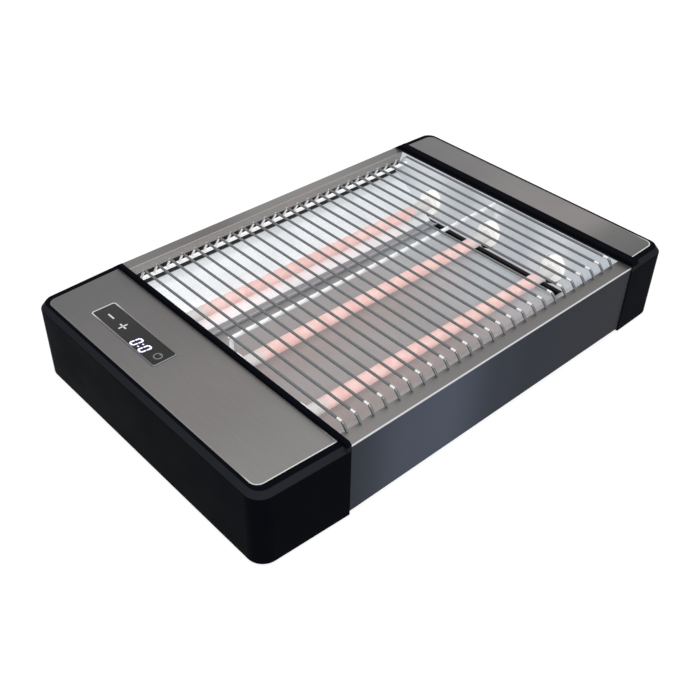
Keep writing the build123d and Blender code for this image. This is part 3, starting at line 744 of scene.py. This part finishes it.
@dataclass
class EndCaps:
    """Both moulded caps with their plates, covers, feet and gland."""

    dresser: Dresser
    edge_width: float = 0.8
    edge_rise: float = 0.06
    merge_distance: float = 0.01
    top_tolerance: float = 0.05
    window_reach: float = 1.5

    def dress(self) -> None:
        """Dress the caps' nodes."""
        abs_black = MouldedABS().material()
        # Painted light on the plates: the left lighter at the front, the right with a painted highlight
        # across its middle.
        left_plate = BrushedStainless(
            "brushed_left_plate", {-120: "#8b8987", -40: "#807d7b", 60: "#716f6e", 115: "#686868"},
            Brush.ALONG_Y).material()
        right_plate = BrushedStainless(
            "brushed_right_plate",
            {-120: "#636262", -95: "#6c6b6a", -60: "#8d8886", 0: "#888483", 60: "#7a7877", 115: "#757474"},
            Brush.ALONG_Y).material()
        cover = PlainFinish("moulded_matt_cover", "#131314", "#1b1b1c", 0.6).material()
        rubber = PlainFinish("foot_rubber", "#161616", "#202020", 0.8, grain_per_mm=3.0).material()
        zinc = PlainFinish("zinc_plated_steel", "#a8aaad", "#8a8c8f", 0.35, 0.9).material()
        self.dresser.dress(abs_black, "left_end_cap", "right_end_cap")
        self.dresser.dress(left_plate, "left_top_plate")
        self.dresser.dress(right_plate, "right_top_plate")
        self.dresser.dress(cover, "left_base_cover", "right_base_cover", "cord_gland", "tray_grip")
        self.dresser.dress(rubber, "left_feet", "right_feet")
        self.dresser.dress(zinc, "cover_screws", "pan_screws", "pan_rivets", "board_screws", "grip_rivets")

    def build(self) -> None:
        """Model the cut edge round each plate, with a painted highlight that is lightest at the front."""
        # Painted highlight on the cut edge, fading from the front to the back.
        edge = BrushedStainless(
            "cut_edge_painted_highlight", {-119: "#e4e3e0", -112: "#d2d1ce", -100: "#8f8d8b", 110: "#737170"},
            Brush.ALONG_Y, roughness=0.3).material()
        for side in ("left", "right"):
            piece = self.cut_edge(side)
            place_finish(piece, edge)
            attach(piece, "toaster")
            log.info("built %s", piece.name)

    def cut_edge(self, side: str) -> bpy.types.Object:
        """Copy a plate and keep only a narrow raised border of its top face.

        Args:
            side: "left" or "right".

        Returns:
            The border mesh.
        """
        source = self.dresser.nodes[side + "_top_plate"]
        select_none()
        piece = bpy.data.objects.new(side + "_plate_edge", source.data.copy())
        bpy.context.scene.collection.objects.link(piece)
        piece.select_set(True)
        bpy.context.view_layer.objects.active = piece
        bpy.ops.object.mode_set(mode="EDIT")
        bpy.ops.mesh.select_all(action="SELECT")
        bpy.ops.mesh.remove_doubles(threshold=self.merge_distance * MM)
        bpy.ops.object.mode_set(mode="OBJECT")
        lowest = max(v.co.z for v in piece.data.vertices) - self.top_tolerance * MM
        pick_faces(piece, lambda face: face.normal.z < 0.5 or face.center.z < lowest)
        bpy.ops.mesh.delete(type="FACE")
        bpy.ops.mesh.select_all(action="SELECT")
        bpy.ops.mesh.dissolve_limited(angle_limit=math.radians(1.0))
        bpy.ops.mesh.select_all(action="SELECT")
        bpy.ops.mesh.inset(thickness=self.edge_width * MM, depth=0.0, use_boundary=True)
        bpy.ops.mesh.delete(type="FACE")
        bpy.ops.object.mode_set(mode="OBJECT")
        pick_faces(piece, self.beside_window)
        bpy.ops.mesh.delete(type="FACE")
        bpy.ops.mesh.select_all(action="SELECT")
        bpy.ops.mesh.extrude_region_move(
            TRANSFORM_OT_translate={"value": (0.0, 0.0, self.edge_rise * MM)})
        bpy.ops.mesh.select_all(action="SELECT")
        bpy.ops.mesh.normals_make_consistent(inside=False)
        bpy.ops.object.mode_set(mode="OBJECT")
        return piece

    def beside_window(self, face: bpy.types.MeshPolygon) -> bool:
        """Say whether a face lies by the window, where the bezel is the edge.

        Args:
            face: a face of the border.

        Returns:
            True beside the window.
        """
        low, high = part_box("window_bezel")
        reach = self.window_reach * MM
        return all(low[i] - reach < face.center[i] < high[i] + reach for i in (0, 1))


@dataclass
class ControlPanel:
    """Display window: glass, bezel, digits and key marks."""

    dresser: Dresser
    mark_rise: float = 0.06
    stroke: float = 1.4
    stroke_gap: float = 0.14
    colon_half_gap: float = 1.8
    dot_half_length: float = 0.1
    digit_width: float = 5.3
    digit_height: float = 9.2
    digit_slant: float = 0.13
    digit_x: float = -171.9
    digit_rows: tuple[float, ...] = (38.3, 28.5)
    key_x: float = -169.6
    key_arm: float = 3.7
    ring_radius: float = 2.85
    ring_width: float = 0.8
    ring_flatness: float = 0.25
    ring_opening: float = 0.35
    power_bar: tuple[float, float] = (0.4, 1.15)
    key_rows: dict[str, float] = field(
        default_factory=lambda: {"minus": 73.25, "plus": 58.4, "power": 16.6})

    def dress(self) -> None:
        """Dress the window's nodes and what lies under it."""
        self.dresser.dress(SmokedGlass().material(), "control_window")
        # Painted highlights on the bezel: a pale front end and a lighter back end.
        bezel = BrushedStainless(
            "polished_bezel", {9: "#9b9a9b", 12: "#706e70", 70: "#8a888a", 84: "#d6d5d4"},
            Brush.ALONG_Y, roughness=0.25).material()
        self.dresser.dress(bezel, "window_bezel")
        self.dresser.dress(SolderMask().material(), "control_board", "power_board")
        black = PlainFinish("black_display_housing", "#151517", "#1f1f22", 0.4).material()
        self.dresser.dress(black, "display_module", "touch_pads")

    def build(self) -> None:
        """Model the luminous digits and the printed key marks."""
        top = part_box("control_window")[1][2]
        luminous = PlainFinish("luminous_digits", "#e9e4ff", "#d9d4f6", 0.4, emission=0.8).material()
        printed = PlainFinish("printed_key_marks", "#d8d8dc", "#c4c4c8", 0.5, emission=0.15).material()
        strokes = [s for y in self.digit_rows for s in self.zero(y)] + self.colon()
        self.add_marks("display_digits", strokes, top, luminous)
        self.add_marks("key_marks", self.keys(), top, printed)
        dim = PlainFinish("dim_power_mark", "#8a8a8c", "#7e7e80", 0.5).material()
        ring = self.power_ring(top)
        y = self.key_rows["power"]
        inner, outer = (self.key_x + self.ring_radius * share for share in self.power_bar)
        self.add_marks("power_bar", [(inner, y, outer, y)], top, dim)
        place_finish(ring, dim)
        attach(ring, "toaster")
        log.info("built %s", ring.name)

    def zero(self, y: float) -> list[Stroke]:
        """Strokes of a seven-bar zero, read from the long front side.

        Args:
            y: the digit's middle.

        Returns:
            Strokes as x, y, x, y in millimetres.
        """
        half_w = (self.digit_width - self.stroke) / 2
        half_h = (self.digit_height - self.stroke) / 2
        gap = self.stroke_gap
        bars = [
            (-half_h, -half_w + gap, -half_h, half_w - gap),
            (half_h, -half_w + gap, half_h, half_w - gap),
        ]
        for across in (-half_w, half_w):
            bars.append((-half_h + gap, across, -gap, across))
            bars.append((gap, across, half_h - gap, across))
        placed = []
        for x0, y0, x1, y1 in bars:
            placed.append((
                self.digit_x + x0, y + y0 - self.digit_slant * x0,
                self.digit_x + x1, y + y1 - self.digit_slant * x1,
            ))
        return placed

    def colon(self) -> list[Stroke]:
        """Two dots between the digits."""
        y = sum(self.digit_rows) / 2
        dots = []
        for x in (-self.colon_half_gap, self.colon_half_gap):
            middle, across = self.digit_x + x, y - self.digit_slant * x
            dots.append((middle - self.dot_half_length, across, middle + self.dot_half_length, across))
        return dots

    def keys(self) -> list[Stroke]:
        """Strokes of the minus and the plus."""
        x, arm = self.key_x, self.key_arm
        minus, plus = (self.key_rows[k] for k in ("minus", "plus"))
        return [
            (x, minus - arm, x, minus + arm),
            (x, plus - arm, x, plus + arm),
            (x - arm, plus, x + arm, plus),
        ]

    def add_marks(self, name: str, strokes: list[Stroke], top: float,
                  material: bpy.types.Material) -> None:
        """Model raised bars with pointed ends on the glass.

        Args:
            name: the piece's name.
            strokes: bars as x, y, x, y in millimetres.
            top: height of the glass in metres.
            material: the finish.
        """
        bars = []
        for x0, y0, x1, y1 in strokes:
            length = max(math.hypot(x1 - x0, y1 - y0), self.stroke)
            select_none()
            bpy.ops.mesh.primitive_cylinder_add(
                vertices=6, radius=self.stroke / 2 * MM, depth=self.mark_rise * MM,
                location=((x0 + x1) / 2 * MM, (y0 + y1) / 2 * MM, top + self.mark_rise / 2 * MM))
            bar = bpy.context.object
            stretch = (length - self.stroke) / 2 * MM
            for vertex in bar.data.vertices:
                along, across = vertex.co.y, -vertex.co.x
                vertex.co.x, vertex.co.y = along + math.copysign(stretch, along), across
            bar.rotation_euler[2] = math.atan2(y1 - y0, x1 - x0)
            settle(bar)
            bars.append(bar)
        piece = join(bars, name)
        place_finish(piece, material)
        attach(piece, "toaster")
        log.info("built %s with %d strokes", name, len(bars))

    def power_ring(self, top: float) -> bpy.types.Object:
        """Model the open ring of the power mark.

        Args:
            top: height of the glass in metres.

        Returns:
            The ring.
        """
        select_none()
        bpy.ops.mesh.primitive_torus_add(
            major_radius=self.ring_radius * MM, minor_radius=self.ring_width / 2 * MM,
            major_segments=40, minor_segments=8,
            location=(self.key_x * MM, self.key_rows["power"] * MM, top))
        ring = active_mesh("power_mark")
        gap = self.ring_radius * self.ring_opening * MM
        pick_faces(ring, lambda face: face.center.x > 0 and abs(face.center.y) < gap)
        bpy.ops.mesh.delete(type="FACE")
        bpy.ops.mesh.select_all(action="SELECT")
        bpy.ops.mesh.fill_holes(sides=8)
        bpy.ops.mesh.select_all(action="SELECT")
        bpy.ops.transform.resize(value=(1.0, 1.0, self.ring_flatness))
        bpy.ops.object.mode_set(mode="OBJECT")
        settle(ring)
        return ring


@dataclass
class Chamber:
    """Panels, reflectors, tray, tubes and collars."""

    dresser: Dresser

    def dress(self) -> None:
        """Dress the chamber's nodes."""
        # Painted light: the front lacquer's stops paint its soft highlight, the steel stops paint the light
        # along each flange, and each fold carries a painted highlight.
        front = LacqueredPanel(
            "lacquered_front_panel",
            {-131: "#3f434b", -80: "#5a5f6d", -45: "#5b6270", 10: "#414550", 45: "#383c44", 154: "#38383e"},
            {-131: "#8b8886", 0: "#7c7a79", 154: "#73716f"},
            ("Z", 61.3, 61.0), (-127.0, -125.9))
        back = LacqueredPanel(
            "lacquered_back_panel", {-131: "#3f434b", 154: "#3b3e46"},
            {-131: "#7b7a79", -50: "#716e6d", 0: "#888582", 60: "#8b8886", 154: "#747471"},
            ("Y", 125.3, 125.6), (115.0, 116.0), "#a5a29f")
        self.dresser.dress(front.material(), "front_panel")
        self.dresser.dress(back.material(), "back_panel")
        # Painted shade and light on the back reflector: a painted shade band over the channel with a
        # painted highlight line in it, a painted shadow under the rod, painted black shade in the gap at
        # the back, lighter tones at the left end and a painted glow.
        back_sheet = ReflectorSheet(
            "aluminised_back_reflector", "X", {-120: "#f2f4f5", 0: "#e9edef", 150: "#dde2e5"},
            (Tint("Y", 50.5, 60.0, 1.0, "#6f7377", 0.85), Tint("Y", 53.2, 55.0, 0.6, "#b4b8ba", 0.7),
             Tint("Y", 106.0, 130.0, 5.0, "#6c7072", 0.2), Tint("Y", 112.6, 130.0, 1.2, "#0e0f10", 0.95)),
            glow=0.28)
        # Painted light and shade on the end reflectors: pale patches beside the tubes, a painted glow, and
        # painted black shade below the slot's edge.
        ends = ReflectorSheet(
            "aluminised_end_reflector", "Y", {-120: "#cdd2d8", 0: "#c6cbd0", 110: "#d0d5da"},
            beside_tubes("#f4f6f8", 0.3) + (Tint("Z", -5.0, 25.2, 0.3, "#0a0a0c", 1.0),), glow=0.24)
        # Painted light: a faint pink cast from the tubes and a lighter right end.
        front_sheet = ReflectorSheet(
            "aluminised_front_reflector", "X", {-120: "#c4c6c5", 60: "#c2c5c5", 150: "#d6dbe0"},
            beside_tubes("#c9aca6", 0.05))
        # Painted light: a pink cast from the tubes and a lighter right end.
        floor = ReflectorSheet(
            "aluminised_tray", "X", {-100: "#b5b0ae", 20: "#b9b6b5", 110: "#d0d5d8"},
            beside_tubes("#c9aca6", 0.1))
        self.dresser.dress(back_sheet.material(), "back_reflector")
        self.dresser.dress(ends.material(), "left_end_reflector", "right_end_reflector")
        self.dresser.dress(front_sheet.material(), "front_reflector")
        self.dresser.dress(floor.material(), "crumb_tray")
        zinc = PlainFinish("galvanised_pan", "#3a3c3f", "#303235", 0.55, 0.3).material()
        self.dresser.dress(zinc, "base_pan", "left_tray_rail", "right_tray_rail",
                           "left_heat_shield", "right_heat_shield")
        quartz = MilkyQuartz().material()
        ceramic = PressedCeramic().material()
        coil = PlainFinish("glowing_coil", "#e8602c", "#c94a20", 0.6, emission=1.0).material()
        for row in ("front", "middle", "back"):
            self.dresser.dress(quartz, row + "_quartz_tube")
            self.dresser.dress(coil, row + "_heating_coil")
            self.dresser.dress(ceramic, row + "_left_collar", row + "_right_collar")


@dataclass
class Wiring:
    """What the left cap holds: power board parts, bus bars, leads and the ribbon cable."""

    dresser: Dresser

    def dress(self) -> None:
        """Dress the inner nodes."""
        finishes = {
            PlainFinish("blue_relay_case", "#1c3f86", "#24509c", 0.35): ("relay",),
            PlainFinish("yellow_polyester_tape", "#c7a52a", "#b89422", 0.5): ("transformer",),
            PlainFinish("red_capacitor_case", "#a5241c", "#8f1d17", 0.3): ("capacitor",),
            PlainFinish("ivory_terminal_block", "#d6d0bd", "#c6bfa9", 0.55): ("terminal_block",),
            PlainFinish("nickel_plated_bar", "#b5b1a6", "#a19d92", 0.35, 0.9):
                ("left_bus_bar", "right_bus_bar"),
            PlainFinish("drawn_aluminium_can", "#b9bbbd", "#a7a9ab", 0.35, 0.9): ("thermal_cutout",),
            PlainFinish("silicone_lead_sleeve", "#8c2a24", "#7a231e", 0.6):
                ("cutout_lead", "supply_lead", "return_lead", "mains_leads"),
            PlainFinish("grey_ribbon_cable", "#8f9094", "#7f8084", 0.55): ("board_cable",),
        }
        for finish, names in finishes.items():
            self.dresser.dress(finish.material(), *names)


@dataclass
class Rack:
    """Tip-up wire rack: its wires, rods and weld beads."""

    dresser: Dresser
    first_x: float = -124.5
    pitch: float = 11.175
    count: int = 25
    bead: float = 1.25
    bead_squash: Vec3 = (1.15, 1.0, 0.55)
    rear_bead_ahead: float = 0.8
    rear_bead_sink: float = 0.2

    def dress(self) -> None:
        """Dress the rack's nodes."""
        # Painted highlights at the wires' bends; the rods carry a painted glint through emission.
        wire = ChromedWire("chromed_wire_painted_highlights", "#777b7d", "#f4f3f1").material()
        rod = ChromedWire("chromed_rod", "#eceded", "#f4f4f2", roughness=0.3, metallic=0.3,
                          glint=0.3).material()
        self.dresser.dress(wire, "rack_cross_wires")
        self.dresser.dress(rod, "rack_middle_rod", "rack_rear_rod")

    def build(self) -> None:
        """Model a weld bead at each crossing of wire and rod."""
        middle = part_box("rack_middle_rod")
        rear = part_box("rack_rear_rod")
        rows = {
            "middle_weld_beads": ((middle[0][1] + middle[1][1]) / 2, middle[1][2]),
            "rear_weld_beads": (
                (rear[0][1] + rear[1][1]) / 2 - self.rear_bead_ahead * MM,
                rear[1][2] - self.rear_bead_sink * MM,
            ),
        }
        # Painted glint: the weld beads glow with emission to stand out as highlights.
        weld = PlainFinish("weld_bead_painted_glint", "#eceded", "#d8d9db", 0.3, 0.3, emission=0.35).material()
        for name, (y, z) in rows.items():
            master = self.weld_bead(y, z)
            beads = [master]
            for index in range(1, self.count):
                bead = bpy.data.objects.new(name, master.data.copy())
                bpy.context.scene.collection.objects.link(bead)
                bead.location.x = index * self.pitch * MM
                settle(bead)
                beads.append(bead)
            piece = join(beads, name)
            place_finish(piece, weld)
            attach(piece, "rack")
            log.info("built %s with %d beads", name, self.count)

    def weld_bead(self, y: float, z: float) -> bpy.types.Object:
        """Model one flattened bead at the first wire.

        Args:
            y: the bead's place across.
            z: the bead's height.

        Returns:
            The bead.
        """
        select_none()
        bpy.ops.mesh.primitive_uv_sphere_add(
            segments=12, ring_count=8, radius=self.bead * MM, location=(self.first_x * MM, y, z))
        bead = active_mesh("weld_bead")
        bpy.ops.object.mode_set(mode="EDIT")
        bpy.ops.mesh.select_all(action="SELECT")
        bpy.ops.transform.resize(value=self.bead_squash)
        bpy.ops.object.mode_set(mode="OBJECT")
        bpy.ops.object.shade_smooth()
        settle(bead)
        return bead


@dataclass
class Studio:
    """White floor, pale surround, one soft lamp and the camera."""

    camera_place: Vec3 = (-0.4118, -0.4187, 0.4638)
    right: Vec3 = (0.73609, -0.67654, 0.02153)
    up: Vec3 = (0.41403, 0.47518, 0.77639)
    back: Vec3 = (-0.53549, -0.56259, 0.62988)
    focal_pixels: float = 964.3
    image_pixels: float = 700.0
    sensor_mm: float = 36.0
    near_clip: float = 0.01
    floor_size: float = 12.0
    floor_lift: float = 0.85
    surround_strength: float = 0.7
    lamp_place: Vec3 = (-0.45, -0.8, 1.3)
    lamp_size: float = 1.0
    lamp_power: float = 11.0

    def build(self) -> None:
        """Build the camera, floor, world and lamp."""
        self.camera()
        self.floor()
        self.world()
        self.lamp()
        bpy.context.scene.view_settings.view_transform = "Standard"

    def camera(self) -> None:
        """Place the camera at the photograph's viewpoint."""
        data = bpy.data.cameras.new("photo_camera")
        data.sensor_width = self.sensor_mm
        data.sensor_fit = "HORIZONTAL"
        data.lens = self.focal_pixels / self.image_pixels * self.sensor_mm
        data.clip_start = self.near_clip
        camera = bpy.data.objects.new("photo_camera", data)
        turn = Matrix((self.right, self.up, self.back)).transposed().to_4x4()
        camera.matrix_world = Matrix.Translation(Vector(self.camera_place)) @ turn
        bpy.context.scene.collection.objects.link(camera)
        bpy.context.scene.camera = camera

    def floor(self) -> None:
        """Add a white floor that reads as pure white to the camera and in reflections."""
        select_none()
        bpy.ops.mesh.primitive_plane_add(size=self.floor_size)
        floor = active_mesh("studio_floor")
        r = Recipe("white_floor")
        grain = r.noise(0.02, detail=2.0)
        colour = r.mix(r.ramp(grain, 0.3, 0.7), linear("#8a8a8a"), linear("#868686"))
        matt = r.node("BsdfDiffuse", Color=colour)
        lift = r.node("Emission", Color=linear("#ffffff"),
                      Strength=r.math("MULTIPLY", r.direct_view(), self.floor_lift))
        both = r.node("AddShader", i0=matt.outputs[0], i1=lift.outputs[0])
        place_finish(floor, r.finish(both.outputs[0]))

    def world(self) -> None:
        """Light the object with a plain pale surround that itself shows white."""
        world = bpy.data.worlds.new("studio_world")
        world.use_nodes = True
        graph = Graph(world.node_tree)
        lit = graph.node("Background", Color=linear("#e8ebf0"), Strength=self.surround_strength)
        white = graph.node("Background", Color=linear("#ffffff"))
        choice = graph.node("MixShader", i0=graph.direct_view(), i1=lit.outputs[0], i2=white.outputs[0])
        graph.node("OutputWorld", Surface=choice.outputs[0])
        bpy.context.scene.world = world

    def lamp(self) -> None:
        """Add the square softbox that looks at the object."""
        data = bpy.data.lights.new("key_softbox", "AREA")
        data.size = self.lamp_size
        data.energy = self.lamp_power
        lamp = bpy.data.objects.new("key_softbox", data)
        lamp.location = self.lamp_place
        lamp.rotation_euler = (-Vector(self.lamp_place)).to_track_quat("-Z", "Y").to_euler()
        bpy.context.scene.collection.objects.link(lamp)


def main() -> None:
    """Load the frame, dress it, build the fine pieces and the studio."""
    logging.basicConfig(level=logging.INFO, format="%(name)s: %(message)s")
    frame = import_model()
    dresser = Dresser({name: bpy.data.objects[name] for name in frame["nodes"]})
    Studio().build()
    for assembly in (EndCaps(dresser), ControlPanel(dresser), Rack(dresser)):
        assembly.dress()
        assembly.build()
    for plain in (Chamber(dresser), Wiring(dresser)):
        plain.dress()


if __name__ == "__main__":
    main()
